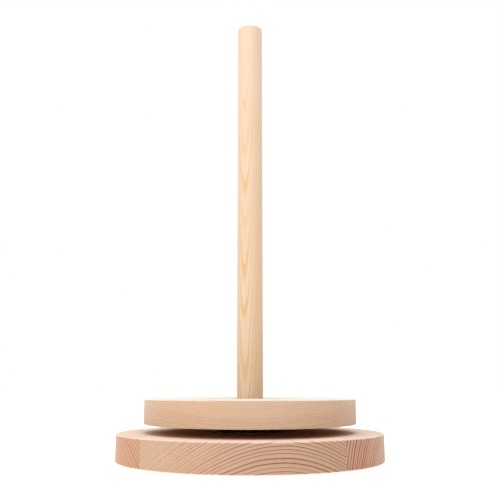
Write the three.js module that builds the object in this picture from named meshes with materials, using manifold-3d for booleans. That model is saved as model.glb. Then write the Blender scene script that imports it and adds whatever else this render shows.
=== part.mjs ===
// A free-standing paper towel holder in solid wood, with a post that turns.
//
// A round base, glued up from three boards, stands on four thin pads. A square pressed-steel ball
// bearing on top of it carries a smaller round turntable, and a plain dowel post stands in a socket
// in the middle of the turntable. The bearing has two plates, a ring of loose balls and a cage that
// spaces them. Four wood screws fasten it to the base, and four to the turntable. One more screw
// comes up through the turntable into the post.
//
// Millimetres, +Z up. The origin is on the surface that the holder stands on, at the post's axis.
// -Y is the front: the base's grain runs front to back, so its front edge is end grain.
import * as THREE from "three";
import { mergeVertices } from "three/addons/utils/BufferGeometryUtils.js";
import Module from "manifold-3d";

const wasm = await Module();
wasm.setup();

// ---------------------------------------------------------------- driving dimensions

// Pads under the base. The inset is from the base's rim to a pad's centre.
const padDiameter = 12;
const padHeight = 1.5;
const padChamfer = 0.4;
const padInset = 20;
const padCount = 4;

// Base: a disc of three boards, edge to edge, with glue joints that run front to back.
const baseDiameter = 200;
const baseThickness = 19.5;
const leftJointX = -72.9;
const rightJointX = 62.7;
const glueLine = 0.1;

// Turntable, and the socket in its top that holds the post.
const turntableDiameter = 160;
const turntableThickness = 18.5;
const socketDepth = 12;
const socketClearance = 0.15;

// Post. The projection is its length above the turntable.
const postDiameter = 20;
const postProjection = 305.5;

// Chamfers that break the wooden edges.
const discChamfer = 0.8;
const postTopChamfer = 0.5;
const postFootChamfer = 0.6;

// Bearing plates: sheet steel, pressed up into a ring that carries the race. The lower plate's
// collar comes up through the upper plate, and is curled out over a lip on it.
const sheetThickness = 1;
const ringRise = 0.6;
const collarBore = 19;
const curlWidth = 2.3;
const curlThickness = 0.9;
const curlToTurntable = 0.7;
const lipClearance = 0.3; // between the curl and the lip under it
const collarClearance = 0.5; // between the collar and the lip around it
const webClearance = 0.6; // between the curl's rim and the web outside it
const webWidth = 0.7;
const ringToScrewHead = 3.3;
const screwHoleToPlateEdge = 5;
const plateCornerRadius = 4;

// Balls, and the cage that spaces them.
const ballDiameter = 4.4;
const ballCount = 14;
const raceClearance = 0.05;
const grooveClearance = 0.3; // the groove's radius is larger than the balls' by this
const pocketClearance = 0.2;
const cageThickness = 1.4;
const cageRim = 0.9; // the least width of the cage beside a pocket
const cageClearance = 0.8;

// Wood screws: four in each plate, and the one that holds the post.
const plateScrew = { diameter: 3.5, length: 12, headDiameter: 6.2, headHeight: 1.7, tip: 2.5 };
const postScrew = { diameter: 4, length: 40, headDiameter: 7.6, headHeight: 2.4, tip: 3.5 };
const headRim = 0.3; // the straight edge around a countersunk head
const panCrownShare = 0.35; // of a pan head's height, for its domed top
const panFlatShare = 0.72; // of a pan head's diameter, for the flat on its top
const recessShare = 0.55; // of a head's diameter and height, for its driver recess
const recessSlot = 0.9;
const screwClearance = 0.2;
const pilotTipClearance = 0.5;

// A hole through the base, in line with the upper plate's screws, that a driver reaches them by.
const accessHoleDiameter = 10;

// How finely round things are divided. The plates and the cage have three sides for each ball.
const discSegments = 120;
const postSegments = 48;
const plateSegments = 3 * ballCount;
const pocketSegments = 16;
const smallSegments = 24;
const screwSegments = 12;
const ballSegments = [12, 7];
const grooveSteps = 6;
const cornerSegments = 3;

// ---------------------------------------------------------------- sizes that follow from those

const baseRadius = baseDiameter / 2;
const turntableRadius = turntableDiameter / 2;
const postRadius = postDiameter / 2;
const ballRadius = ballDiameter / 2;
const bearingHeight = ballDiameter + 2 * raceClearance + 2 * sheetThickness;

const baseBottom = padHeight;
const baseTop = baseBottom + baseThickness;
const turntableBottom = baseTop + bearingHeight;
const socketFloor = turntableThickness - socketDepth;

// Bearing radii, from the collar outwards.
const collarInner = collarBore / 2;
const collarOuter = collarInner + sheetThickness;
const curlOuter = collarOuter + curlWidth;
const lipInner = collarOuter + collarClearance;
const webFoot = curlOuter + webClearance;
const webTop = webFoot + webWidth;
const cageInner = webFoot + cageClearance;
const pocketRadius = ballRadius + pocketClearance;
const ballCircleRadius = cageInner + cageRim + pocketRadius;
const cageOuter = ballCircleRadius + pocketRadius + cageRim;
const ringOuter = cageOuter + cageClearance;
const flangeInner = ringOuter + sheetThickness;

// Bearing heights, from the base's top.
const ringTop = sheetThickness + ringRise;
const curlTop = bearingHeight - curlToTurntable;
const curlBottom = curlTop - curlThickness;
const lipTop = curlBottom - lipClearance;
const lipBottom = lipTop - sheetThickness;

// Screws through the plates' corners.
const screwCircleRadius = flangeInner + ringToScrewHead + plateScrew.headDiameter / 2;
const screwOffset = screwCircleRadius * Math.SQRT1_2;
const plateSide = 2 * (screwOffset + screwHoleToPlateEdge);
const corners = [[-1, -1], [1, -1], [1, 1], [-1, 1]];
const screwPlaces = corners.map(([x, y]) => [x * screwOffset, y * screwOffset]);
const ballPlaces = ringOfPlaces(ballCircleRadius, ballCount, 0);
const padPlaces = ringOfPlaces(baseRadius - padInset, padCount, 0.5);

// ---------------------------------------------------------------- helpers

// Places around the axis, the first one a given share of a step from +X.
function ringOfPlaces(radius, count, shift) {
  return Array.from({ length: count }, (_, index) => {
    const angle = (2 * Math.PI * (index + shift)) / count;
    return [radius * Math.cos(angle), radius * Math.sin(angle)];
  });
}

// A solid of revolution about +Z from a list of [radius, height], its outside going up, which
// starts and ends on the axis or closes on itself.
function revolve(profile, segments) {
  const points = profile.map(([radius, height]) => new THREE.Vector2(radius, height));
  return new THREE.LatheGeometry(points, segments).rotateX(Math.PI / 2);
}

function revolveClosed(profile, segments) {
  return revolve([...profile, profile[0]], segments);
}

function drum(radius, low, high, segments) {
  return revolve([[0, low], [radius, low], [radius, high], [0, high]], segments);
}

function block(low, high) {
  const size = high.map((value, axis) => value - low[axis]);
  const centre = high.map((value, axis) => (value + low[axis]) / 2);
  return new THREE.BoxGeometry(...size).translate(...centre);
}

function toSolid(geometry) {
  const bare = geometry.clone().deleteAttribute("normal").deleteAttribute("uv");
  const merged = mergeVertices(bare, 1e-4);
  return new wasm.Manifold(
    new wasm.Mesh({
      numProp: 3,
      vertProperties: merged.getAttribute("position").array,
      triVerts: new Uint32Array(merged.index.array),
    }),
  );
}

function toGeometry(solid) {
  const mesh = solid.getMesh();
  const geometry = new THREE.BufferGeometry()
    .setAttribute("position", new THREE.BufferAttribute(mesh.vertProperties, mesh.numProp))
    .setIndex(new THREE.BufferAttribute(mesh.triVerts, 1));
  geometry.computeVertexNormals();
  return geometry;
}

function join(first, second) {
  return toGeometry(toSolid(first).add(toSolid(second)));
}

function common(first, second) {
  return toGeometry(toSolid(first).intersect(toSolid(second)));
}

function cut(geometry, ...tools) {
  return toGeometry(tools.map(toSolid).reduce((rest, tool) => rest.subtract(tool), toSolid(geometry)));
}

function piece(name, geometry, look, x = 0, y = 0, z = 0) {
  const mesh = new THREE.Mesh(geometry, new THREE.MeshStandardMaterial(look));
  mesh.name = name;
  mesh.position.set(x, y, z);
  return mesh;
}

// A group of pieces at a height, turned upside down about the X axis when flipped.
function level(z, pieces, flipped = false) {
  const group = new THREE.Group();
  group.position.z = z;
  group.rotation.x = flipped ? Math.PI : 0;
  group.add(...pieces);
  return group;
}

// ---------------------------------------------------------------- looks

const baseWood = { color: 0xd8ad8e, roughness: 0.62, metalness: 0 };
const turntableWood = { color: 0xdcb793, roughness: 0.6, metalness: 0 };
const postWood = { color: 0xeccba0, roughness: 0.55, metalness: 0 };
const blackSteel = { color: 0x1b1a19, roughness: 0.5, metalness: 0.6 };
const ballSteel = { color: 0xb9bbbd, roughness: 0.2, metalness: 1 };
const nylon = { color: 0x2a2b2d, roughness: 0.6, metalness: 0 };
const zincPlate = { color: 0xb4b3ac, roughness: 0.35, metalness: 1 };
const blackOxide = { color: 0x232221, roughness: 0.45, metalness: 0.7 };
const rubber = { color: 0x8b8783, roughness: 0.85, metalness: 0 };

// ---------------------------------------------------------------- wooden pieces, from z 0 up

function chamferedDisc(radius, thickness) {
  const flat = radius - discChamfer;
  return revolve(
    [
      [0, 0],
      [flat, 0],
      [radius, discChamfer],
      [radius, thickness - discChamfer],
      [flat, thickness],
      [0, thickness],
    ],
    discSegments,
  );
}

// Pilot holes for a plate's screws, between two heights.
function pilotHoles(low, high) {
  const radius = plateScrew.diameter / 2 + screwClearance;
  return screwPlaces.map(([x, y]) => drum(radius, low, high, screwSegments).translate(x, y, 0));
}

const pilotDepth = plateScrew.length - sheetThickness + pilotTipClearance;

function baseBoards() {
  const disc = chamferedDisc(baseRadius, baseThickness);
  const board = (from, to) =>
    common(disc, block([from, -baseDiameter, -1], [to, baseDiameter, baseThickness + 1]));
  const halfLine = glueLine / 2;
  const accessHole = drum(accessHoleDiameter / 2, -1, baseThickness + 1, smallSegments)
    .translate(0, screwCircleRadius, 0);
  return {
    left: board(-baseDiameter, leftJointX - halfLine),
    centre: cut(
      board(leftJointX + halfLine, rightJointX - halfLine),
      accessHole,
      ...pilotHoles(baseThickness - pilotDepth, baseThickness + 1),
    ),
    right: board(rightJointX + halfLine, baseDiameter),
  };
}

// The countersunk hole that the post's screw comes up through.
function postScrewHole() {
  const shank = postScrew.diameter / 2 + screwClearance;
  const head = postScrew.headDiameter / 2 + screwClearance;
  return revolve(
    [
      [0, -1],
      [head, -1],
      [head, headRim],
      [shank, postScrew.headHeight + screwClearance],
      [shank, socketFloor + 1],
      [0, socketFloor + 1],
    ],
    screwSegments,
  );
}

function turntableDisc() {
  return cut(
    chamferedDisc(turntableRadius, turntableThickness),
    drum(postRadius + socketClearance, socketFloor, turntableThickness + 1, postSegments),
    postScrewHole(),
    ...pilotHoles(-1, pilotDepth),
  );
}

function postDowel() {
  const length = socketDepth + postProjection;
  const screwReach = postScrew.length - socketFloor + pilotTipClearance;
  const dowel = revolve(
    [
      [0, 0],
      [postRadius - postFootChamfer, 0],
      [postRadius, postFootChamfer],
      [postRadius, length - postTopChamfer],
      [postRadius - postTopChamfer, length],
      [0, length],
    ],
    postSegments,
  );
  return cut(dowel, drum(postScrew.diameter / 2 + screwClearance, -1, screwReach, screwSegments));
}

// ---------------------------------------------------------------- bearing

// Both plates have the same square flange around the same pressed ring. Each is drawn lying on the
// wood that it is screwed to.
function squareFlange() {
  const centre = plateSide / 2 - plateCornerRadius;
  const outline = new THREE.Shape();
  corners.forEach(([x, y], index) => {
    const start = Math.PI + (index * Math.PI) / 2;
    outline.absarc(x * centre, y * centre, plateCornerRadius, start, start + Math.PI / 2, false);
  });
  const plate = new THREE.ExtrudeGeometry(outline, {
    depth: sheetThickness,
    bevelEnabled: false,
    curveSegments: cornerSegments,
  });
  return cut(plate, drum(flangeInner, -1, sheetThickness + 1, plateSegments));
}

// The ring's section on the wood's side, from an inner radius out to where the flange takes over.
function ringBack(innerRadius) {
  const slope = ringRise / 2;
  const inner = ballCircleRadius - ballRadius;
  const outer = ballCircleRadius + ballRadius;
  return [
    [innerRadius, ringRise],
    [inner - slope, ringRise],
    [inner + slope, 0],
    [outer - slope, 0],
    [outer + slope, ringRise],
    [ringOuter, ringRise],
    [ringOuter + ringRise, 0],
    [flangeInner + sheetThickness, 0],
  ];
}

// The ring's section on the balls' side, from the flange in to the inner edge of the race, which
// is an arc around the ring of ball centres.
function ringFace() {
  const grooveRadius = ballRadius + grooveClearance;
  const grooveCentre = sheetThickness + grooveRadius;
  const half = Math.acos((grooveCentre - ringTop) / grooveRadius);
  const groove = Array.from({ length: grooveSteps + 1 }, (_, step) => {
    const angle = half - (2 * half * step) / grooveSteps;
    return [ballCircleRadius + grooveRadius * Math.sin(angle), grooveCentre - grooveRadius * Math.cos(angle)];
  });
  return [
    [flangeInner + sheetThickness, sheetThickness],
    [flangeInner, sheetThickness],
    [ringOuter + ringRise / 2, ringTop],
    ...groove,
  ];
}

function bearingPlate(innerSection) {
  const [innerRadius] = innerSection[innerSection.length - 1];
  const section = [...ringBack(innerRadius), ...ringFace(), ...innerSection];
  const plate = join(revolveClosed(section, plateSegments), squareFlange());
  const radius = plateScrew.diameter / 2 + screwClearance;
  const holes = screwPlaces.map(([x, y]) =>
    drum(radius, -1, sheetThickness + 1, screwSegments).translate(x, y, 0),
  );
  return cut(plate, ...holes);
}

function lowerPlate() {
  return bearingPlate([
    [collarOuter, ringTop],
    [collarOuter, curlBottom],
    [curlOuter, curlBottom],
    [curlOuter, curlTop],
    [collarInner, curlTop],
  ]);
}

// Heights here count down from the turntable. The web leads in and down to the lip.
function upperPlate() {
  const halfWeb = sheetThickness * 0.4;
  return bearingPlate([
    [webTop + halfWeb, ringTop],
    [webFoot, bearingHeight - lipBottom],
    [lipInner, bearingHeight - lipBottom],
    [lipInner, bearingHeight - lipTop],
    [webFoot - halfWeb, bearingHeight - lipTop],
    [webTop - halfWeb, ringRise],
  ]);
}

function ballCage() {
  const ring = revolveClosed(
    [
      [cageInner, 0],
      [cageOuter, 0],
      [cageOuter, cageThickness],
      [cageInner, cageThickness],
    ],
    plateSegments,
  );
  const pockets = ballPlaces.map(([x, y]) =>
    drum(pocketRadius, -1, cageThickness + 1, pocketSegments).translate(x, y, 0),
  );
  return cut(ring, ...pockets);
}

// ---------------------------------------------------------------- screws and pads

// Screws point down, and the tops of their heads are at z 0.
function crossRecess(screw) {
  const reach = (screw.headDiameter * recessShare) / 2;
  const depth = screw.headHeight * recessShare;
  const half = recessSlot / 2;
  return [
    block([-reach, -half, -depth], [reach, half, 1]),
    block([-half, -reach, -depth], [half, reach, 1]),
  ];
}

// A pan-head wood screw. Its length counts from under the head.
function panScrew(screw) {
  const shank = screw.diameter / 2;
  const head = screw.headDiameter / 2;
  const end = -screw.headHeight - screw.length;
  const body = revolve(
    [
      [0, end],
      [shank, end + screw.tip],
      [shank, -screw.headHeight],
      [head, -screw.headHeight],
      [head, -screw.headHeight * panCrownShare],
      [head * panFlatShare, 0],
      [0, 0],
    ],
    screwSegments,
  );
  return cut(body, ...crossRecess(screw));
}

// A countersunk wood screw. Its length counts from the top of the head.
function countersunkScrew(screw) {
  const shank = screw.diameter / 2;
  const head = screw.headDiameter / 2;
  const body = revolve(
    [
      [0, -screw.length],
      [shank, screw.tip - screw.length],
      [shank, -screw.headHeight],
      [head, -headRim],
      [head, 0],
      [0, 0],
    ],
    screwSegments,
  );
  return cut(body, ...crossRecess(screw));
}

function plateScrews(prefix) {
  return screwPlaces.map(([x, y], index) =>
    piece(`${prefix}_${index + 1}`, panScrew(plateScrew), blackOxide, x, y),
  );
}

function footPad() {
  const radius = padDiameter / 2;
  return revolve(
    [
      [0, 0],
      [radius - padChamfer, 0],
      [radius, padChamfer],
      [radius, padHeight],
      [0, padHeight],
    ],
    smallSegments,
  );
}

// ---------------------------------------------------------------- assembly

function standingBase() {
  const boards = Object.entries(baseBoards()).map(([side, board]) =>
    piece(`base_board_${side}`, board, baseWood, 0, 0, baseBottom),
  );
  const pads = padPlaces.map(([x, y], index) => piece(`foot_pad_${index + 1}`, footPad(), rubber, x, y));
  return level(0, [...boards, ...pads]);
}

function lowerBearing() {
  const headTops = sheetThickness + plateScrew.headHeight;
  return level(baseTop, [
    piece("bearing_lower_plate", lowerPlate(), blackSteel),
    level(headTops, plateScrews("lower_plate_screw")),
  ]);
}

function ballRing() {
  const balls = ballPlaces.map(([x, y], index) => {
    const name = `bearing_ball_${String(index + 1).padStart(2, "0")}`;
    return piece(name, new THREE.SphereGeometry(ballRadius, ...ballSegments), ballSteel, x, y);
  });
  const cage = piece("bearing_ball_cage", ballCage(), nylon, 0, 0, -cageThickness / 2);
  return level(baseTop + bearingHeight / 2, [cage, ...balls]);
}

function turntableAndPost() {
  const headTops = sheetThickness + plateScrew.headHeight;
  return level(turntableBottom, [
    piece("turntable_disc", turntableDisc(), turntableWood),
    piece("post_dowel", postDowel(), postWood, 0, 0, socketFloor),
    level(0, [piece("post_screw", countersunkScrew(postScrew), zincPlate)], true),
    level(0, [piece("bearing_upper_plate", upperPlate(), blackSteel)], true),
    level(-headTops, plateScrews("upper_plate_screw"), true),
  ]);
}

const towelHolder = new THREE.Group();
towelHolder.add(standingBase(), lowerBearing(), ballRing(), turntableAndPost());

export default towelHolder;
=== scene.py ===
"""Looks of the paper towel holder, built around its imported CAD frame.

Everything is in metres in the row's own frame: +Z up the post, -Y the front. Wooden pieces are turned
with eased edges, and each carries its own growth rings right through it, so that end grain, long
grain and their curves come out where the surfaces cut them.
"""

from dataclasses import dataclass
import math

import bmesh
import bpy
from mathutils import Matrix, Vector


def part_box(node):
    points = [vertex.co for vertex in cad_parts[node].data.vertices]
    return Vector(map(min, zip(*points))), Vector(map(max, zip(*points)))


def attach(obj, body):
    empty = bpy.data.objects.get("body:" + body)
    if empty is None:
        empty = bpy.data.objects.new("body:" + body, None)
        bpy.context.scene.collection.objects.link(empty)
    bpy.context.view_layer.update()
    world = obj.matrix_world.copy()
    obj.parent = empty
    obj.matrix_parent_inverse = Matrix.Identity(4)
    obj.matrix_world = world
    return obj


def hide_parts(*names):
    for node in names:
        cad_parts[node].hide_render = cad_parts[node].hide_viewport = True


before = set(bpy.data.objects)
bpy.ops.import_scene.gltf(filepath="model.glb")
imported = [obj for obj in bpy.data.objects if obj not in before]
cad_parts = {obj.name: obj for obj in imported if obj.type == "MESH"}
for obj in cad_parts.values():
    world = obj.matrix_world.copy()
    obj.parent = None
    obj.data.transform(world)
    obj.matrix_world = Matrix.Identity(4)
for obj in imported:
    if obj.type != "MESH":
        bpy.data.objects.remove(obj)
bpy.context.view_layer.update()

MM = 0.001

# ------------------------------------------------------------------ sizes

# Taken from the frame.
base_low, base_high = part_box("base_board_centre")
LEFT_BOARD_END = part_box("base_board_left")[1].x
RIGHT_BOARD_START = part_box("base_board_right")[0].x
BASE_RADIUS = base_high.y
BASE_TOP = base_high.z
table_low, table_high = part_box("turntable_disc")
TABLE_RADIUS = table_high.x
post_low, post_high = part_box("post_dowel")
POST_RADIUS = post_high.x
lower_plate_low, lower_plate_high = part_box("bearing_lower_plate")
upper_plate_low, upper_plate_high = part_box("bearing_upper_plate")
PLATE_HALF = lower_plate_high.x
cage_low, cage_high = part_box("bearing_ball_cage")
ball_low, ball_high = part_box("bearing_ball_01")
BALL_RADIUS = (ball_high.y - ball_low.y) / 2
BALL_CIRCLE = (ball_high.x + ball_low.x) / 2
BALL_HEIGHT = (ball_high.z + ball_low.z) / 2
post_screw_low, post_screw_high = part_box("post_screw")
plate_screw_low, plate_screw_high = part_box("lower_plate_screw_1")
SCREW_CORNER = (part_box("lower_plate_screw_3")[0].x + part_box("lower_plate_screw_3")[1].x) / 2

# Details that are finer than the frame.
EDGE_ROUND = 0.7 * MM
EDGE_FLAT = 0.3 * MM
CUT_PAST = 1.0 * MM
POST_TOP_ROUND = 0.5 * MM
SOCKET_CLEARANCE = 0.15 * MM
SHEET = 1.0 * MM
RING_RISE = 0.6 * MM
COLLAR_RADIUS = 10.0 * MM
PLATE_CORNER = 4.0 * MM
GROOVE_CLEARANCE = 0.3 * MM
ACCESS_HOLE_RADIUS = 5.0 * MM
PILOT_RADIUS = 1.95 * MM
PILOT_PAST_TIP = 0.5 * MM
POST_PILOT_RADIUS = 2.2 * MM

# How finely round shapes are divided, and the radius below which a ring is a point.
DISC_SEGMENTS = 256
POST_SEGMENTS = 96
SMALL_SEGMENTS = 48
HOLE_SEGMENTS = 24
POINT_RADIUS = 1e-9


# ------------------------------------------------------------------ meshes

def fillet(before, corner, after, radius, steps):
    """Points of an arc that rounds the corner of a polyline."""
    corner = Vector(corner)
    to_before = (Vector(before) - corner).normalized()
    to_after = (Vector(after) - corner).normalized()
    half = to_before.angle(to_after) / 2
    reach = radius / math.tan(half)
    centre = corner + (to_before + to_after).normalized() * radius / math.sin(half)
    start = corner + to_before * reach - centre
    turn = start.angle_signed(corner + to_after * reach - centre)
    arc = [start.copy() for _ in range(steps + 1)]
    for index, spoke in enumerate(arc):
        spoke.rotate(Matrix.Rotation(-turn * index / steps, 2))
    return [tuple(centre + spoke) for spoke in arc]


def rounded(outline, steps=6):
    """A list of (radius, height, rounding) as a polyline of (radius, height) with arcs at its corners."""
    points = []
    for index, (radius, height, rounding) in enumerate(outline):
        if rounding:
            before = outline[index - 1][:2]
            after = outline[(index + 1) % len(outline)][:2]
            points += fillet(before, (radius, height), after, rounding, steps)
        else:
            points.append((radius, height))
    return points


def lathe(profile, segments, closed=False):
    """A mesh turned about +Z from a profile whose outside runs upwards. Radius 0 is one shared point."""
    shape = bmesh.new()
    rings = []
    for radius, height in profile:
        if radius < POINT_RADIUS:
            rings.append([shape.verts.new((0, 0, height))] * segments)
            continue
        angles = [2 * math.pi * index / segments for index in range(segments)]
        ring = [(radius * math.cos(a), radius * math.sin(a), height) for a in angles]
        rings.append([shape.verts.new(point) for point in ring])
    pairs = list(zip(rings, rings[1:]))
    if closed:
        pairs.append((rings[-1], rings[0]))
    for low, high in pairs:
        for index in range(segments):
            following = (index + 1) % segments
            corners = [low[index], low[following], high[following], high[index]]
            unique = list(dict.fromkeys(corners))
            if len(unique) > 2:
                shape.faces.new(unique)
    return shape


def to_object(shape, name):
    """Turns a bmesh into a linked object."""
    bmesh.ops.recalc_face_normals(shape, faces=shape.faces)
    mesh = bpy.data.meshes.new(name)
    shape.to_mesh(mesh)
    shape.free()
    thing = bpy.data.objects.new(name, mesh)
    bpy.context.scene.collection.objects.link(thing)
    return thing


def cut(thing, shapes):
    """Subtracts closed shapes from an object for good."""
    for shape in shapes:
        cutter = to_object(shape, "cutter")
        modifier = thing.modifiers.new("cut", "BOOLEAN")
        modifier.operation = "DIFFERENCE"
        modifier.solver = "EXACT"
        modifier.object = cutter
        evaluated = thing.evaluated_get(bpy.context.evaluated_depsgraph_get())
        result = bpy.data.meshes.new_from_object(evaluated)
        thing.modifiers.clear()
        thing.data = result
        bpy.data.objects.remove(cutter)


def shade(thing, limit=32):
    """Smooth shading, apart from edges that turn by more than the limit."""
    shape = bmesh.new()
    shape.from_mesh(thing.data)
    for edge in shape.edges:
        edge.smooth = edge.calc_face_angle(0) < math.radians(limit)
    for face in shape.faces:
        face.smooth = True
    shape.to_mesh(thing.data)
    shape.free()


def rod(radius, low, high, x=0, y=0, segments=SMALL_SEGMENTS):
    """A closed cylinder between two heights, as a bmesh."""
    shape = lathe([(0, low), (radius, low), (radius, high), (0, high)], segments)
    bmesh.ops.translate(shape, verts=shape.verts, vec=(x, y, 0))
    return shape


def bar(size, centre):
    """A box of a size around a centre, as a bmesh."""
    shape = bmesh.new()
    bmesh.ops.create_cube(shape, size=1)
    bmesh.ops.scale(shape, verts=shape.verts, vec=size)
    bmesh.ops.translate(shape, verts=shape.verts, vec=centre)
    return shape


# ------------------------------------------------------------------ wooden pieces

def disc_profile(radius, low, high):
    """A disc's outline with eased rims. A narrow flat ring beside each rim keeps the shading true."""
    flat = radius - EDGE_ROUND - EDGE_FLAT
    outline = [
        (flat, low, 0),
        (radius, low, EDGE_ROUND),
        (radius, high, EDGE_ROUND),
        (flat, high, 0),
    ]
    return rounded(outline)


def plate_screw_holes(low, high):
    """Four cutters at the corners of a bearing plate, where its screws go."""
    corners = [(x * SCREW_CORNER, y * SCREW_CORNER) for x in (-1, 1) for y in (-1, 1)]
    return [rod(PILOT_RADIUS, low, high, x, y, HOLE_SEGMENTS) for x, y in corners]


def wooden_base():
    """The base's three boards, cut from one turned disc."""
    rim = disc_profile(BASE_RADIUS, base_low.z, BASE_TOP)
    profile = [(0, base_low.z), *rim, (0, BASE_TOP)]
    cuts = {
        "left": [(LEFT_BOARD_END, 1)],
        "centre": [(base_low.x, -1), (base_high.x, 1)],
        "right": [(RIGHT_BOARD_START, -1)],
    }
    boards = {}
    for side, planes in cuts.items():
        shape = lathe(profile, DISC_SEGMENTS)
        for x, outward in planes:
            bmesh.ops.bisect_plane(
                shape,
                geom=[*shape.verts, *shape.edges, *shape.faces],
                plane_co=(x, 0, 0),
                plane_no=(outward, 0, 0),
                clear_outer=True,
            )
            bmesh.ops.holes_fill(shape, edges=[edge for edge in shape.edges if edge.is_boundary])
        boards[side] = to_object(shape, f"fine_base_board_{side}")
    holes = plate_screw_holes(plate_screw_low.z - PILOT_PAST_TIP, BASE_TOP + CUT_PAST)
    screw_circle = SCREW_CORNER * math.sqrt(2)
    access = rod(ACCESS_HOLE_RADIUS, base_low.z - CUT_PAST, BASE_TOP + CUT_PAST, 0, screw_circle)
    cut(boards["centre"], [*holes, access])
    return boards


def wooden_turntable():
    """The turntable, with the post's socket and the countersunk hole of the post's screw."""
    socket = POST_RADIUS + SOCKET_CLEARANCE
    socket_edge = 0.25 * MM
    head = post_screw_high.x + 0.2 * MM
    head_sunk = 0.3 * MM
    cone_end = 2.6 * MM
    shank = POST_PILOT_RADIUS
    rim = disc_profile(TABLE_RADIUS, table_low.z, table_high.z)
    inside = rounded(
        [
            rim[-1] + (0,),
            (socket, table_high.z, socket_edge),
            (socket, post_low.z, 0),
            (shank, post_low.z, 0),
            (shank, table_low.z + cone_end, 0),
            (head, table_low.z + head_sunk, 0),
            (head, table_low.z, 0),
        ],
        3,
    )
    disc = to_object(lathe([*rim, *inside[1:]], DISC_SEGMENTS, closed=True), "fine_turntable_disc")
    screw_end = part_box("upper_plate_screw_1")[1].z + PILOT_PAST_TIP
    cut(disc, plate_screw_holes(table_low.z - CUT_PAST, screw_end))
    return disc


def wooden_post():
    """The post, with eased ends and the pilot hole of its screw."""
    pilot_end = post_screw_high.z + PILOT_PAST_TIP
    foot_round = 0.6 * MM
    outline = [
        (0, pilot_end, 0),
        (POST_PILOT_RADIUS, pilot_end, 0),
        (POST_PILOT_RADIUS, post_low.z, 0),
        (POST_RADIUS, post_low.z, foot_round),
        (POST_RADIUS, post_high.z, POST_TOP_ROUND),
        (POST_RADIUS - 2 * POST_TOP_ROUND, post_high.z, 0),
        (0, post_high.z, 0),
    ]
    return to_object(lathe(rounded(outline, 5), POST_SEGMENTS), "fine_post_dowel")


# ------------------------------------------------------------------ bearing

def sheet_section(centreline, bend, steps=4):
    """Outlines a bent sheet of constant thickness around a centreline of (radius, height)."""
    first, *inside, last = centreline
    bends = [(*first, 0), *((*point, bend) for point in inside), (*last, 0)]
    return offset_both(rounded(bends, steps), SHEET / 2)


def offset_both(path, distance):
    """The closed outline at a distance from a polyline, there along one side and back on the other."""
    right, left = [], []
    for index, point in enumerate(path):
        before = Vector(path[max(index - 1, 0)])
        after = Vector(path[min(index + 1, len(path) - 1)])
        along = (after - before).normalized()
        normal = Vector((along.y, -along.x)) * distance
        right.append(tuple(Vector(point) + normal))
        left.append(tuple(Vector(point) - normal))
    return [*right, *reversed(left)]


def groove_arc(steps=8):
    """The middle of the sheet under the balls, as an arc around their centres."""
    radius = BALL_RADIUS + GROOVE_CLEARANCE + SHEET / 2
    centre = SHEET / 2 + radius
    half = math.acos((centre - SHEET / 2 - RING_RISE) / radius)
    angles = [half - 2 * half * step / steps for step in range(steps + 1)]
    return [(BALL_CIRCLE + radius * math.sin(a), centre - radius * math.cos(a)) for a in angles]


def square_reach(angle, half, corner):
    """How far a rounded square reaches from its middle in a direction."""
    direction = Vector((abs(math.cos(angle)), abs(math.sin(angle))))
    flat = half / max(direction)
    middle = Vector((half - corner, half - corner))
    if min(direction) * flat <= half - corner:
        return flat
    along = direction.dot(middle)
    return along + math.sqrt(along * along - middle.length_squared + corner * corner)


def pressed_plate(name, inner_line, base_z, flip):
    """A plate: a pressed ring around the race, on a flat square flange with four screw holes.

    inner_line is the sheet's centreline inside the race, from its inner end outwards.
    """
    foot = cage_high.x + 0.8 * MM
    bend = 0.35 * MM
    line = [
        *inner_line,
        *reversed(groove_arc()),
        (foot, SHEET / 2 + RING_RISE),
        (foot + RING_RISE, SHEET / 2),
        (foot + 2 * SHEET, SHEET / 2),
    ]
    section = sheet_section(line, bend)
    segments = 4 * SMALL_SEGMENTS
    shape = lathe(section, segments, closed=True)
    shape.verts.ensure_lookup_table()
    stretch_to_square(shape, segments, len(section) // 2)
    plate = to_object(shape, name)
    cut(plate, plate_screw_holes(-CUT_PAST, SHEET + CUT_PAST))
    turn = Matrix.Rotation(math.pi, 4, "X") if flip else Matrix.Identity(4)
    plate.data.transform(Matrix.Translation((0, 0, base_z)) @ turn)
    shade(plate)
    return plate


def stretch_to_square(shape, segments, outermost):
    """Moves the two outermost rings of a lathed plate out to a rounded square."""
    for ring in (outermost - 1, outermost):
        for index in range(segments):
            vertex = shape.verts[ring * segments + index]
            angle = 2 * math.pi * index / segments
            reach = square_reach(angle, PLATE_HALF, PLATE_CORNER)
            vertex.co.x = reach * math.cos(angle)
            vertex.co.y = reach * math.sin(angle)


def bearing_lower_plate():
    """The lower plate, whose collar stands up inside the upper one and curls over its lip."""
    top = lower_plate_high.z - lower_plate_low.z - SHEET / 2
    curl = 2.8 * MM
    line = [
        (COLLAR_RADIUS + curl, top),
        (COLLAR_RADIUS, top),
        (COLLAR_RADIUS, SHEET / 2 + RING_RISE),
    ]
    return pressed_plate("fine_bearing_lower_plate", line, lower_plate_low.z, False)


def bearing_upper_plate():
    """The upper plate, made upside down, with the lip that the lower plate's collar holds."""
    drop = upper_plate_high.z - upper_plate_low.z - SHEET / 2
    lip_start, lip_end, wall_foot = (COLLAR_RADIUS + step * MM for step in (1.0, 3.3, 4.1))
    line = [
        (lip_start, drop),
        (lip_end, drop),
        (wall_foot, SHEET / 2 + RING_RISE),
    ]
    return pressed_plate("fine_bearing_upper_plate", line, upper_plate_high.z, True)


def ball_places():
    """The middles of the balls, evenly around the race."""
    count = sum(name.startswith("bearing_ball_") and name[-2:].isdigit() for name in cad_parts)
    angles = [2 * math.pi * index / count for index in range(count)]
    return [(BALL_CIRCLE * math.cos(a), BALL_CIRCLE * math.sin(a)) for a in angles]


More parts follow.
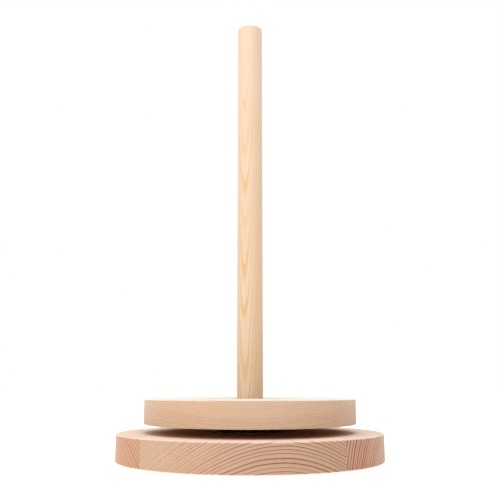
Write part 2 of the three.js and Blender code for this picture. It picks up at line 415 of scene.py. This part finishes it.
def bearing_cage():
    """A moulded ring with eased edges and a round pocket for each ball."""
    inner = 2 * BALL_CIRCLE - cage_high.x
    ease = 0.3 * MM
    outline = [
        (inner, cage_low.z, ease),
        (cage_high.x, cage_low.z, ease),
        (cage_high.x, cage_high.z, ease),
        (inner, cage_high.z, ease),
    ]
    cage_segments = 112
    pocket_segments = 32
    shape = lathe(rounded(outline, 3), cage_segments, closed=True)
    cage = to_object(shape, "fine_bearing_cage")
    pocket = BALL_RADIUS + 0.2 * MM
    low = cage_low.z - CUT_PAST
    high = cage_high.z + CUT_PAST
    cut(cage, [rod(pocket, low, high, x, y, pocket_segments) for x, y in ball_places()])
    shade(cage)
    return cage


def bearing_ball(number, x, y):
    """One ball of the race. Its shading is smooth everywhere."""
    shape = bmesh.new()
    bmesh.ops.create_icosphere(shape, subdivisions=4, radius=BALL_RADIUS)
    bmesh.ops.translate(shape, verts=shape.verts, vec=(x, y, BALL_HEIGHT))
    ball = to_object(shape, f"fine_bearing_ball_{number:02d}")
    shade(ball, 60)
    return ball


# ------------------------------------------------------------------ screws and pads

def thread_rings(core, crest, pitch, tip, start, end, segments):
    """Rings of a threaded shank that points down, as rows of points from its tip to under the head."""
    rows_per_turn = 10
    blunt_tip = 0.04
    ridge_share = 0.22
    rows = max(8, int((start - end) / pitch * rows_per_turn))
    rings = []
    for row in range(rows + 1):
        height = end + (start - end) * row / rows
        taper = min(1, (height - end) / tip + blunt_tip)
        ring = []
        for index in range(segments):
            angle = 2 * math.pi * index / segments
            phase = (height / pitch - angle / (2 * math.pi)) % 1
            ridge = max(0, 1 - abs(phase - 0.5) / ridge_share)
            radius = (core + (crest - core) * ridge) * taper
            ring.append((radius * math.cos(angle), radius * math.sin(angle), height))
        rings.append(ring)
    return rings


def skin(rings, low_tip, top_outline, segments):
    """Joins point rings to a closed mesh, with a pointed tip below and a lathed head above."""
    shape = bmesh.new()
    loops = [[shape.verts.new(point) for point in ring] for ring in rings]
    for radius, height in top_outline:
        if radius < POINT_RADIUS:
            continue
        angles = [2 * math.pi * index / segments for index in range(segments)]
        ring = [(radius * math.cos(a), radius * math.sin(a), height) for a in angles]
        loops.append([shape.verts.new(point) for point in ring])
    for low, high in zip(loops, loops[1:]):
        for index in range(segments):
            following = (index + 1) % segments
            shape.faces.new((low[index], low[following], high[following], high[index]))
    tip = shape.verts.new(low_tip)
    top = shape.verts.new((0, 0, top_outline[-1][1]))
    for index in range(segments):
        following = (index + 1) % segments
        shape.faces.new((loops[0][following], loops[0][index], tip))
        shape.faces.new((loops[-1][index], loops[-1][following], top))
    return shape


def screw(name, head_outline, length, crest, core, pitch, recess):
    """A wood screw that points down, with the top of its head at height 0 and a cross recess."""
    segments = 24
    tip = 2.5 * MM
    seat = head_outline[0][1]
    rings = thread_rings(core, crest, pitch, tip, seat, -length, segments)
    shape = skin(rings, (0, 0, -length), head_outline, segments)
    thing = to_object(shape, name)
    width, depth, slot = recess
    middle = (0, 0, 0)
    cut(thing, [bar((width, slot, 2 * depth), middle), bar((slot, width, 2 * depth), middle)])
    shade(thing)
    return thing


def pan_screw(name):
    """A 3.5 mm screw with a low domed head."""
    length = plate_screw_high.z - plate_screw_low.z
    head = (plate_screw_high.x - plate_screw_low.x) / 2
    crest, core, pitch = 1.75 * MM, 1.2 * MM, 1.5 * MM
    seat = -1.7 * MM
    outline = [
        (crest, seat, 0),
        (head, seat, 0.15 * MM),
        (head, seat / 2, 0.5 * MM),
        (head * 0.7, 0, 0.8 * MM),
        (0, 0, 0),
    ]
    recess = (3.4 * MM, 0.95 * MM, 0.9 * MM)
    return screw(name, rounded(outline, 4), length, crest, core, pitch, recess)


def countersunk_screw(name):
    """A 4 mm screw with a flat, conical head."""
    length = post_screw_high.z - post_screw_low.z
    head = (post_screw_high.x - post_screw_low.x) / 2
    crest, core, pitch = 2.0 * MM, 1.4 * MM, 1.8 * MM
    seat = -2.4 * MM
    rim = 0.3 * MM
    ease = 0.05 * MM
    cone = [(crest, seat), (head, -rim), (head, -ease), (head - ease, 0), (0, 0)]
    recess = (4.4 * MM, 1.5 * MM, 1.1 * MM)
    return screw(name, cone, length, crest, core, pitch, recess)


def upside_down(thing):
    """Turns a screw so that it points up."""
    thing.data.transform(Matrix.Rotation(math.pi, 4, "X"))


def foot_pad(number, low, high):
    """A soft pad with a domed rim and a slightly hollow foot."""
    radius = (high.x - low.x) / 2
    hollow_edge = radius * 0.6
    foot_edge = radius * 0.72
    outline = [
        (0, 0.15 * MM, 0),
        (hollow_edge, 0.12 * MM, 0),
        (foot_edge, 0, 0),
        (radius, 0, 0.5 * MM),
        (radius, high.z, 0.15 * MM),
        (0, high.z, 0),
    ]
    shape = lathe(rounded(outline, 4), SMALL_SEGMENTS)
    middle = ((low.x + high.x) / 2, (low.y + high.y) / 2, 0)
    bmesh.ops.translate(shape, verts=shape.verts, vec=middle)
    pad = to_object(shape, f"fine_foot_pad_{number}")
    shade(pad)
    return pad


# ------------------------------------------------------------------ materials: a small formula language

class Value:
    """A number somewhere in a node tree, so that formulas read as formulas."""

    def __init__(self, graph, socket):
        self.graph = graph
        self.socket = socket

    def __add__(self, other):
        return self.graph.math("ADD", self, other)

    def __sub__(self, other):
        return self.graph.math("SUBTRACT", self, other)

    def __mul__(self, other):
        return self.graph.math("MULTIPLY", self, other)

    def __truediv__(self, other):
        return self.graph.math("DIVIDE", self, other)

    def __rsub__(self, other):
        return self.graph.math("SUBTRACT", other, self)

    __radd__ = __add__
    __rmul__ = __mul__


class Graph:
    """Builds one material. Inputs are numbers, tuples, or values and sockets made earlier."""

    def __init__(self, name):
        self.material = bpy.data.materials.new(name)
        self.material.use_nodes = True
        self.tree = self.material.node_tree
        self.tree.nodes.clear()

    def node(self, kind, inputs=None, settings=None, output=0):
        node = self.tree.nodes.new(kind)
        for key, value in (settings or {}).items():
            setattr(node, key, value)
        for key, value in (inputs or {}).items():
            source = value.socket if isinstance(value, Value) else value
            if isinstance(source, bpy.types.NodeSocket):
                self.tree.links.new(source, node.inputs[key])
            else:
                node.inputs[key].default_value = source
        return node.outputs[output]

    def number(self, *args, **kwargs):
        return Value(self, self.node(*args, **kwargs))

    def math(self, operation, first, second=0.0):
        return self.number("ShaderNodeMath", {0: first, 1: second}, {"operation": operation})

    def coordinates(self):
        """The object's own coordinates, in millimetres."""
        place = self.node("ShaderNodeTexCoord", output=3)
        inputs = {0: place, "Scale": 1 / MM}
        scaled = self.node("ShaderNodeVectorMath", inputs, {"operation": "SCALE"})
        return self.split(scaled)

    def normal(self):
        """The object's own surface direction."""
        return self.split(self.node("ShaderNodeTexCoord", output=1))

    def split(self, vector):
        node = self.tree.nodes.new("ShaderNodeSeparateXYZ")
        self.tree.links.new(vector, node.inputs[0])
        return [Value(self, node.outputs[axis]) for axis in range(3)]

    def vector(self, x, y, z):
        return self.node("ShaderNodeCombineXYZ", {0: x, 1: y, 2: z})

    def noise(self, x, y, z, detail=2.0, roughness=0.5):
        """Smooth noise from -0.5 to 0.5 with features about one unit apart."""
        inputs = {
            "Vector": self.vector(x, y, z),
            "Scale": 1.0,
            "Detail": detail,
            "Roughness": roughness,
        }
        return self.number("ShaderNodeTexNoise", inputs) - 0.5

    def grain_noise(self, grain, length, width, shift=(0, 0, 0), detail=2.0, roughness=0.5):
        """Noise with features of a length along the grain and a width across it, in millimetres."""
        sizes = (length, width, width)
        scaled = [value / size + offset for value, size, offset in zip(grain, sizes, shift)]
        return self.noise(*scaled, detail, roughness)

    def random(self, value):
        """A number from 0 to 1 that is settled by a value."""
        settings = {"noise_dimensions": "1D"}
        return self.number("ShaderNodeTexWhiteNoise", {"W": value}, settings)

    def step(self, value, low, high):
        """0 below low, 1 above high, smooth between."""
        inputs = {"Value": value, "From Min": low, "From Max": high}
        return self.number("ShaderNodeMapRange", inputs, {"interpolation_type": "SMOOTHSTEP"})

    def grazing(self):
        """0 where the surface faces the viewer, 1 where it is seen edge-on."""
        return self.number("ShaderNodeLayerWeight", {"Blend": 0.5}, output=1)

    def mix(self, factor, first, second, blend="MIX"):
        node = self.tree.nodes.new("ShaderNodeMix")
        node.data_type = "RGBA"
        node.blend_type = blend
        for index, value in ((0, factor), (6, first), (7, second)):
            source = value.socket if isinstance(value, Value) else value
            if isinstance(source, bpy.types.NodeSocket):
                self.tree.links.new(source, node.inputs[index])
            else:
                node.inputs[index].default_value = source if index == 0 else (*source, 1.0)
        return node.outputs[2]

    def brighten(self, colour, factor):
        """Scales a colour by a value."""
        inputs = {0: colour, "Scale": factor}
        return self.node("ShaderNodeVectorMath", inputs, {"operation": "SCALE"})

    def bump(self, height, distance, strength):
        inputs = {"Height": height, "Distance": distance, "Strength": strength}
        return self.node("ShaderNodeBump", inputs)

    def finish(self, **inputs):
        """Ends the material. base_color=... sets the shader's Base Color, and so on."""
        named = {}
        for key, value in inputs.items():
            named[key.replace("_", " ").title().replace("Ior", "IOR")] = value
        surface = self.node("ShaderNodeBsdfPrincipled", named)
        end = self.tree.nodes.new("ShaderNodeOutputMaterial")
        self.tree.links.new(surface, end.inputs["Surface"])
        return self.material


def srgb(red, green, blue):
    """A linear colour from 0 to 255 display values."""
    scaled = [channel / 255 for channel in (red, green, blue)]
    return tuple(c / 12.92 if c <= 0.04045 else ((c + 0.055) / 1.055) ** 2.4 for c in scaled)


# ------------------------------------------------------------------ materials: wood

@dataclass
class Dusk:
    """A slow change across a board: towards its end the rings sharpen and a tone sets in."""

    axis: int  # 0, 1, 2 for x, y, z
    start: float
    end: float
    tone: tuple


@dataclass
class Wood:
    """What one board looks like. Lengths are in millimetres, and the rest are plain strengths."""

    early: tuple  # colour of the soft wood between the dark lines
    late: tuple  # colour of the dark lines
    pale: tuple  # colour of paler long grain, and of the painted sheen on level faces and at grazing views
    spacing: float  # from ring to ring
    line: float  # share of a ring that its dark line takes up
    depth: float  # how strongly rings show on end grain
    face: float  # share of that strength that long grain keeps
    fleck: float  # strength of the short flecks
    seed: float  # where in the noise this board lies
    drift: float  # how far rings wander over the whole board
    ripple: float  # how far rings wave over a few millimetres
    ray: float = 5.0  # length of the flecks
    feather: float = 0.14  # how far a ring's edge frays
    rim: float = 1.0  # how much paler long grain is than end grain
    veil: float = 0.0  # how much of the rings level faces hide
    painted_upright_sheen: float = 0.0  # how much painted sheen makes upright faces paler at a grazing view
    dusk: Dusk = None
    has_gap_shade: bool = False  # whether its top under the turntable gets painted shade, a darker, redder tint


# Tints that a wood's colour is multiplied by. The first two are painted shade, the last is the wood's own
# tone.
UNDERSIDE_SHADE_TINT = (0.95, 0.6, 0.38)
GAP_SHADE_TINT = (1.0, 0.55, 0.3)
WARM_TINT = (0.98, 0.88, 0.76)

# Where painted shade tints the base's top under the turntable: radii and heights, in millimetres.
GAP_SHADE_START, GAP_SHADE_FULL = 84.0, 60.0
GAP_SHADE_FOOT, GAP_SHADE_TOP = 20.0, 20.5


def along_first(axis, place):
    """Reorders x, y, z so that the grain's own direction comes first."""
    order = {"X": (0, 1, 2), "Y": (1, 0, 2), "Z": (2, 0, 1)}[axis]
    return [place[index] for index in order]


def ring_depth(g, wood, field, place, grain):
    """How deep a point lies in the ring field, with wandering, waving and frayed rings."""
    seed = wood.seed
    drift = g.grain_noise(grain, length=110, width=28, shift=(seed, 0, 0), detail=1.0) * wood.drift
    ripple = g.grain_noise(grain, length=40, width=8, shift=(0, seed, 0), detail=1.0) * wood.ripple
    jitter = g.grain_noise(grain, length=9, width=0.8, shift=(0, 0, seed)) * wood.feather
    return field(g, *place) + drift + ripple + jitter


def ring_strength(g, wood, depth):
    """How dark the rings are: a sharp line at the end of each one, and faint false rings."""
    uneven = g.noise(depth / (wood.spacing * 3.2), wood.seed + 4.7, 0.0, 1.0) * 1.1
    count = depth / wood.spacing + uneven
    index = g.math("FLOOR", count)
    part = count - index
    weakest = 0.35
    strength = g.random(index + wood.seed) * (1 - weakest) + weakest
    rise = g.step(part, 1 - 1.7 * wood.line, 1 - 0.6 * wood.line)
    fall = 1 - g.step(part, 1 - 0.2 * wood.line, 1.0)
    body = g.step(part, 0.25, 1.0) * 0.2
    ring = (rise * fall + body) * strength
    false_noise = g.noise(depth / (wood.spacing * 0.24), wood.seed, 1.0, 0.0)
    false_ring = g.step(false_noise, 0.1, 0.34) * 0.16
    return ring + false_ring


def ground_colour(g, wood, place, pale_share, warmth, dusk):
    """The wood's colour without its rings: early wood, paler in places (partly painted sheen) or tinted,
    with painted shade on faces turned down and under the turntable.
    """
    ground = g.mix(pale_share, wood.early, wood.pale)
    # Faces turned down are tinted darker and browner: painted shade that deepens the gap's shadow, and
    # the browner tone of unoiled wood.
    painted_underside_shade = g.step(g.normal()[2], -0.8, -0.98)
    ground = g.mix(painted_underside_shade, ground, UNDERSIDE_SHADE_TINT, "MULTIPLY")
    # Painted shade: the base's top under the turntable is tinted darker and redder, where the turntable
    # shades it.
    if wood.has_gap_shade:
        radius = g.math("SQRT", place[0] * place[0] + place[1] * place[1])
        near_axis = g.step(radius, GAP_SHADE_START, GAP_SHADE_FULL)
        painted_gap_shade = near_axis * g.step(place[2], GAP_SHADE_FOOT, GAP_SHADE_TOP)
        ground = g.mix(painted_gap_shade, ground, GAP_SHADE_TINT, "MULTIPLY")
    ground = g.mix(warmth, ground, WARM_TINT, "MULTIPLY")
    if wood.dusk:
        ground = g.mix(dusk, ground, wood.dusk.tone, "MULTIPLY")
    return ground


def wood_material(name, wood, axis, field):
    """Softwood: growth rings from a field through the board, fibres, flecks and broad tints, with painted
    sheen and painted shade.
    """
    g = Graph(name)
    place = g.coordinates()
    grain = along_first(axis, place)
    fibre = g.grain_noise(grain, length=14, width=0.35, detail=3.0, roughness=0.6)
    streak = g.grain_noise(grain, length=60, width=2.6, shift=(0, wood.seed, 0), roughness=0.55)
    tint = g.grain_noise(grain, length=70, width=24, shift=(0, 0, wood.seed))
    fleck = g.grain_noise(grain, length=wood.ray, width=0.8, detail=3.0, roughness=0.7)

    # Masks: 1 on end grain, 1 on level faces, 1 at an edge-on view.
    facing = g.math("ABSOLUTE", along_first(axis, g.normal())[0])
    end_grain = g.step(facing, 0.0, 0.45)
    level = g.step(g.math("ABSOLUTE", g.normal()[2]), 0.08, 0.5)
    grazing = g.grazing()

    contrast = (wood.face + end_grain * (1 - wood.face)) * wood.depth
    dusk = None
    if wood.dusk:
        along_dusk = g.step(place[wood.dusk.axis], wood.dusk.start, wood.dusk.end)
        contrast = contrast * (0.5 + along_dusk * 0.95)
        dusk = along_dusk * (1 - level)
    contrast = contrast * (1 - level * wood.veil)
    depth = ring_depth(g, wood, field, place, grain)
    darkness = g.math("MINIMUM", ring_strength(g, wood, depth) * contrast, 1.0)

    # The colour goes paler at a grazing view, a painted sheen on level faces and on upright ones; level
    # faces stay a little paler head-on too, a painted highlight on the tops. An exported model has one
    # fixed value in its place.
    painted_level_sheen = level * (g.step(grazing, 0.3, 0.78) * 0.7 + 0.3)
    pale_share = g.math("MAXIMUM", painted_level_sheen, 0.4 * (1 - end_grain) * wood.rim)
    warmth = g.step(tint + streak * 0.4, -0.15, 0.3) * 0.5
    ground = ground_colour(g, wood, place, pale_share, warmth, dusk)
    colour = g.mix(darkness, ground, wood.late)
    # Painted sheen: upright faces go paler at a grazing view.
    if wood.painted_upright_sheen:
        painted_upright_sheen = g.step(grazing, 0.4, 0.95) * (1 - level) * wood.painted_upright_sheen
        colour = g.mix(painted_upright_sheen, colour, wood.pale)
    unevenness = 1 + fibre * 0.14 + streak * 0.10 + fleck * (0.25 * wood.fleck)

    relief = fibre * 0.5 + darkness * 0.35 + fleck * 0.2
    return g.finish(
        base_color=g.brighten(colour, unevenness),
        roughness=0.8 + fibre * 0.16 - darkness * 0.05,
        ior=1.45,
        specular_ior_level=0.1,
        normal=g.bump(relief, 0.04 * MM, 0.5),
    )


def arched(g, x, y, z):
    """Rings that arch over a pith under the centre board. Their crown is to the right of the middle."""
    crown = 21.5
    crown_skew = 0.03
    side = x - crown - (y + 100) * crown_skew
    right = g.step(side, -8.0, 8.0)
    slope = 1.14 - right * 0.14
    curve = 87.0 - right * 34.0
    reach = g.math("SQRT", side * side + curve * curve)
    height = z + slope * (reach - curve) + y * 0.012
    crowding = 0.004
    return height + height * height * crowding


def leaning(angle, fan, start):
    """Nearly upright rings that lean by an angle in degrees, and fan out away from a start."""
    middle_height = 11
    skew = 0.01

    def field(g, x, y, z):
        lean = math.radians(angle)
        fanned = (x - start) * (z - middle_height) * fan
        return x * math.cos(lean) + z * math.sin(lean) + fanned + y * skew
    return field


def tilted_layers(g, x, y, z):
    """Layers of the turntable's board that rise towards the front and roll gently along it."""
    climb = 0.14
    roll_height = 3.4
    roll = g.noise(x / 60 + 3.1, y / 150, 0.0, 1.0) * roll_height
    return z - y * climb + roll


def post_layers(g, x, y, z):
    """Layers of the post that face front left and climb slowly, so that they end in long points."""
    facing = math.radians(26)
    climb = 0.037
    return x * -math.sin(facing) - y * math.cos(facing) + z * climb


def base_woods():
    """The looks of the base's three boards."""
    face = srgb(214, 194, 179)
    left = Wood(
        early=srgb(172, 134, 110), late=srgb(124, 74, 52), pale=face,
        spacing=2.1, line=0.24, depth=0.72, face=0.2, fleck=1.6,
        seed=5.2, drift=0.6, ripple=0.2, painted_upright_sheen=0.15, has_gap_shade=True,
    )
    centre = Wood(
        early=srgb(172, 144, 123), late=srgb(124, 60, 32), pale=face,
        spacing=2.8, line=0.13, depth=1.0, face=0.12, fleck=2.2,
        seed=1.3, drift=1.1, ripple=0.25, has_gap_shade=True,
        dusk=Dusk(axis=0, start=-75.0, end=20.0, tone=(0.87, 0.86, 0.84)),
    )
    right = Wood(
        early=srgb(168, 131, 110), late=srgb(108, 56, 38), pale=face,
        spacing=1.9, line=0.28, depth=1.15, face=0.2, fleck=1.6,
        seed=8.4, drift=0.9, ripple=0.25, painted_upright_sheen=0.3, has_gap_shade=True,
    )
    return left, centre, right


def turntable_wood():
    """The turntable's board: fine, close rings, short flecks and a veiled top."""
    return Wood(
        early=srgb(176, 150, 127), late=srgb(150, 106, 82), pale=srgb(216, 206, 198),
        spacing=1.5, line=0.34, depth=0.38, face=0.9, fleck=2.6,
        seed=2.6, drift=1.8, ripple=0.9, ray=0.55,
        feather=0.3, rim=0.0, veil=0.4, painted_upright_sheen=0.2,
    )


def post_wood():
    """The post: peach, with yellow-brown lines that grow fainter towards its top."""
    return Wood(
        early=srgb(188, 167, 148), late=srgb(182, 143, 82), pale=srgb(210, 198, 182),
        spacing=1.3, line=0.26, depth=0.62, face=1.0, fleck=0.3,
        seed=7.7, drift=1.7, ripple=0.6, feather=0.4, rim=0.0, painted_upright_sheen=0.25,
        dusk=Dusk(axis=2, start=330.0, end=60.0, tone=(1.0, 0.97, 0.9)),
    )


def wood_materials():
    """All wood materials, by the piece that they are for."""
    left, centre, right = base_woods()
    return {
        "left": wood_material("base_left_wood", left, "Y", leaning(30, -0.01, -73)),
        "centre": wood_material("base_centre_wood", centre, "Y", arched),
        "right": wood_material("base_right_wood", right, "Y", leaning(-9, -0.012, 63)),
        "table": wood_material("turntable_wood", turntable_wood(), "X", tilted_layers),
        "post": wood_material("post_wood", post_wood(), "Z", post_layers),
    }


# ------------------------------------------------------------------ materials: metal, plastic, rubber

def lighter(colour, factor):
    """A slightly brighter colour, for worn or dusty patches."""
    return [min(1.0, factor * channel + 0.01) for channel in colour]


def metal_material(name, colour, roughness, wear, metallic=1.0):
    """Metal with fine scratches, dull patches and a little uneven colour."""
    g = Graph(name)
    place = g.coordinates()
    patch = g.grain_noise(place, length=3, width=3, detail=3.0)
    scratch = g.grain_noise(place, length=4, width=0.12, roughness=0.7)
    tone = g.mix(g.step(patch, -0.1, 0.3), colour, lighter(colour, 1.3))
    tone = g.brighten(tone, 1 + patch * wear + scratch * wear * 0.5)
    return g.finish(
        base_color=tone,
        metallic=metallic,
        roughness=roughness + patch * 0.18 + scratch * 0.1,
        normal=g.bump(scratch + patch, 0.01 * MM, 0.5),
    )


def soft_material(name, colour, roughness, grain):
    """Moulded nylon or rubber: a matt skin with a fine grain."""
    g = Graph(name)
    place = g.coordinates()
    pebble = g.grain_noise(place, length=grain, width=grain, detail=3.0, roughness=0.6)
    cloud = g.grain_noise(place, length=6, width=6)
    tone = g.mix(g.step(cloud, -0.1, 0.3), colour, lighter(colour, 1.2))
    return g.finish(
        base_color=g.brighten(tone, 1 + cloud * 0.25 + pebble * 0.12),
        roughness=roughness + pebble * 0.15,
        normal=g.bump(pebble, 0.03 * MM, 0.6),
    )


def floor_material():
    """A pale light table: it glows, so that it comes out white."""
    return Graph("pale_floor").finish(
        base_color=(0.5, 0.5, 0.5, 1.0),
        roughness=0.9,
        emission_color=(1.0, 1.0, 1.0, 1.0),
        emission_strength=0.85,
    )


# ------------------------------------------------------------------ the finished pieces

def put(thing, material, body, slot, *nodes):
    """Gives a piece its material and its body, and hides the CAD nodes that it stands for. Its slot
    argument is not used.
    """
    thing.data.materials.clear()
    thing.data.materials.append(material)
    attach(thing, body)
    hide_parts(*nodes)


def place_woodwork():
    """The base's boards, the turntable and the post."""
    woods = wood_materials()
    for side, board in wooden_base().items():
        shade(board)
        put(board, woods[side], "base", "base_wood", f"base_board_{side}")
    for thing, key, body, slot, node in (
        (wooden_turntable(), "table", "turntable", "turntable_wood", "turntable_disc"),
        (wooden_post(), "post", "turntable", "post_wood", "post_dowel"),
    ):
        shade(thing)
        put(thing, woods[key], body, slot, node)


def place_bearing():
    """Both plates, the cage and the balls."""
    black = metal_material(
        "black_steel", srgb(90, 56, 42), roughness=0.6, wear=0.3, metallic=0.1
    )
    bright = metal_material("ball_steel", srgb(196, 197, 200), roughness=0.2, wear=0.08)
    nylon = soft_material("cage_nylon", srgb(50, 42, 38), roughness=0.55, grain=0.3)
    put(bearing_lower_plate(), black, "base", "bearing_steel", "bearing_lower_plate")
    put(bearing_upper_plate(), black, "turntable", "bearing_steel", "bearing_upper_plate")
    put(bearing_cage(), nylon, "ball_cage", "cage_nylon", "bearing_ball_cage")
    for number, (x, y) in enumerate(ball_places(), 1):
        ball = bearing_ball(number, x, y)
        put(ball, bright, "ball_cage", "ball_steel", f"bearing_ball_{number:02d}")


def place_screws():
    """The plates' eight screws and the post's one. Those above the bearing point up."""
    zinc = metal_material("zinc_plate", srgb(190, 187, 176), roughness=0.35, wear=0.12)
    oxide = metal_material(
        "black_oxide", srgb(54, 40, 33), roughness=0.5, wear=0.25, metallic=0.3
    )
    for prefix, body, flip in (("lower", "base", False), ("upper", "turntable", True)):
        for number in range(1, 5):
            node = f"{prefix}_plate_screw_{number}"
            low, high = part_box(node)
            thing = pan_screw(f"fine_{node}")
            if flip:
                upside_down(thing)
            top = low.z if flip else high.z
            centre = (low + high) / 2
            thing.data.transform(Matrix.Translation((centre.x, centre.y, top)))
            put(thing, oxide, body, "screw_black", node)
    post_screw = countersunk_screw("fine_post_screw")
    upside_down(post_screw)
    post_screw.data.transform(Matrix.Translation((0, 0, post_screw_low.z)))
    put(post_screw, zinc, "turntable", "screw_zinc", "post_screw")


def place_pads():
    """The four pads under the base."""
    rubber = soft_material("pad_rubber", srgb(128, 124, 120), roughness=0.8, grain=0.4)
    for number in range(1, 5):
        node = f"foot_pad_{number}"
        pad = foot_pad(number, *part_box(node))
        put(pad, rubber, "base", "pad_rubber", node)


# ------------------------------------------------------------------ stage, light and camera

def make_floor():
    """A wide round floor at height 0."""
    floor_radius = 6
    shape = lathe([(0, 0), (floor_radius, 0)], 64)
    floor = to_object(shape, "floor")
    floor.data.materials.append(floor_material())


def make_world(strength):
    """A plain white surrounding."""
    world = bpy.data.worlds.new("soft_white")
    world.use_nodes = True
    background = world.node_tree.nodes["Background"]
    background.inputs["Color"].default_value = (1.0, 1.0, 1.0, 1.0)
    background.inputs["Strength"].default_value = strength
    bpy.context.scene.world = world


def softbox(name, place, target, size, watts):
    """A soft round light that faces a target."""
    light = bpy.data.lights.new(name, "AREA")
    light.shape = "DISK"
    light.size = size
    light.energy = watts
    thing = bpy.data.objects.new(name, light)
    thing.location = place
    thing.rotation_euler = (Vector(target) - Vector(place)).to_track_quat("-Z", "Y").to_euler()
    bpy.context.scene.collection.objects.link(thing)


def make_lights():
    """Even studio light, a little stronger from the left."""
    make_world(strength=1.0)
    softbox("key", place=(-1.3, -0.9, 0.5), target=(0, 0, 0.1), size=0.9, watts=11)
    softbox("fill", place=(0.7, -1.4, 0.6), target=(0, 0, 0.1), size=0.9, watts=4)
    softbox("top", place=(0.0, -0.7, 1.4), target=(0, 0, 0), size=1.0, watts=10)


def make_camera():
    """A 50 mm lens just above the floor, in front of the holder and pitched up."""
    distance = 0.5433
    height = 0.0552
    pitch_up = 11.1
    camera = bpy.data.cameras.new("camera")
    camera.lens = 50
    camera.sensor_width = 36
    camera.clip_start = 0.01
    thing = bpy.data.objects.new("camera", camera)
    thing.location = (0, -distance, height)
    thing.rotation_euler = (math.radians(90 + pitch_up), 0, 0)
    bpy.context.scene.collection.objects.link(thing)
    bpy.context.scene.camera = thing


make_camera()
make_floor()
make_lights()
place_woodwork()
place_bearing()
place_screws()
place_pads()
bpy.context.scene.view_settings.view_transform = "Standard"
